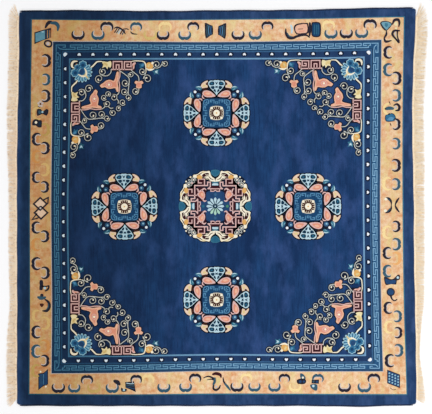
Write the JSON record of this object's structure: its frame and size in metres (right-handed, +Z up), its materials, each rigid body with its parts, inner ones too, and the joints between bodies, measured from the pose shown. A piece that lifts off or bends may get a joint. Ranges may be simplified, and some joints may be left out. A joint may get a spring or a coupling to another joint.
{
  "type": "chinese art deco rug",
  "caption": "Square hand-knotted pile rug lying flat, with uneven edges, overcast side cords and a cream fringe on a woven web at both ends.",
  "frame": {"origin": "on the floor, under the middle of the rug's bounding box", "axes": "+Z up out of the pile, +X along the warp towards one fringed end, +Y across the rug towards one corded side"},
  "size_m": [2.8562, 2.7308, 0.012],
  "materials": {
    "wool_pile": "sheared wool pile, navy field with gold, blue and cream pattern",
    "side_binding": "wool overcasting over a cord",
    "cotton_fringe": "plied cotton warp ends, undyed"
  },
  "bodies": {
    "root": {"pile_body": "wool_pile", "side_cord_back": "side_binding", "side_cord_front": "side_binding", "fringe_left": "cotton_fringe", "fringe_right": "cotton_fringe"}
  },
  "joints": []
}
